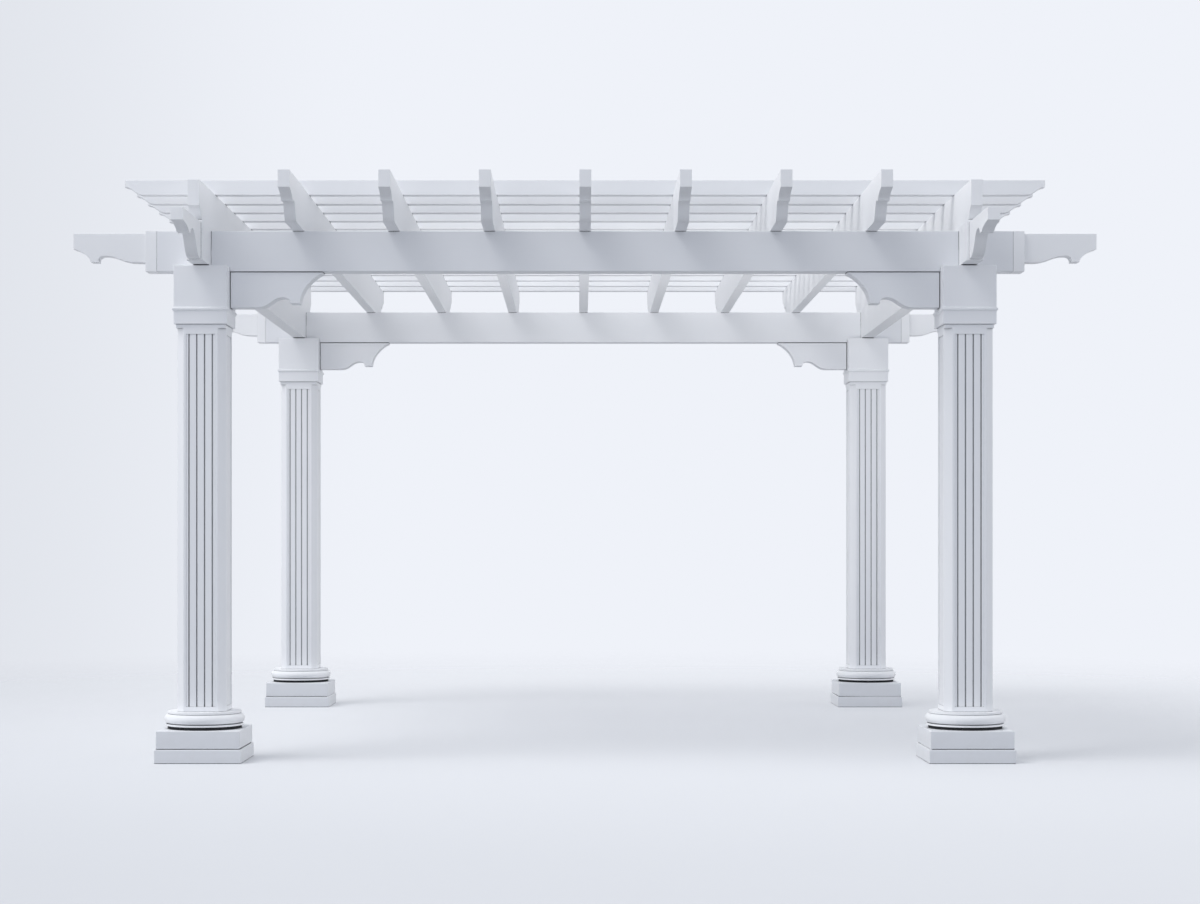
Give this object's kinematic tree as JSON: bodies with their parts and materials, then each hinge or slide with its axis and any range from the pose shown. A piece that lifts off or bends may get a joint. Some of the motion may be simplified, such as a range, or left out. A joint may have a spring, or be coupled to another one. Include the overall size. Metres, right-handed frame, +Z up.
{
  "type": "garden pergola",
  "caption": "Open white timber pergola with panelled columns, scroll-cut beams and rafters, and a layer of battens.",
  "frame": {"origin": "on the ground, at the centre of the box around the whole pergola", "axes": "+Z up, -Y towards the front, +X to the right seen from the front"},
  "size_m": [4.776, 4.912, 2.739],
  "materials": {
    "painted_column": "satin",
    "painted_base": "satin",
    "painted_beam": "satin",
    "painted_rafter": "satin",
    "painted_batten": "satin"
  },
  "bodies": {
    "root": {"front_left_plinth": "painted_base", "front_right_plinth": "painted_base", "back_left_plinth": "painted_base", "back_right_plinth": "painted_base", "front_left_base": "painted_base", "front_right_base": "painted_base", "back_left_base": "painted_base", "back_right_base": "painted_base", "front_left_shaft": "painted_column", "front_right_shaft": "painted_column", "back_left_shaft": "painted_column", "back_right_shaft": "painted_column", "front_left_capital": "painted_column", "front_right_capital": "painted_column", "back_left_capital": "painted_column", "back_right_capital": "painted_column", "front_left_bracket": "painted_beam", "front_right_bracket": "painted_beam", "back_left_bracket": "painted_beam", "back_right_bracket": "painted_beam", "front_beam": "painted_beam", "back_beam": "painted_beam", "left_beam": "painted_beam", "right_beam": "painted_beam", "front_beam_tails": "painted_beam", "back_beam_tails": "painted_beam", "left_beam_tails": "painted_beam", "right_beam_tails": "painted_beam", "left_rafter": "painted_rafter", "right_rafter": "painted_rafter", "rafter_1": "painted_rafter", "rafter_2": "painted_rafter", "rafter_3": "painted_rafter", "rafter_4": "painted_rafter", "rafter_5": "painted_rafter", "rafter_6": "painted_rafter", "rafter_7": "painted_rafter", "battens_1": "painted_batten", "battens_2": "painted_batten", "battens_3": "painted_batten", "battens_4": "painted_batten", "battens_5": "painted_batten"}
  },
  "joints": []
}
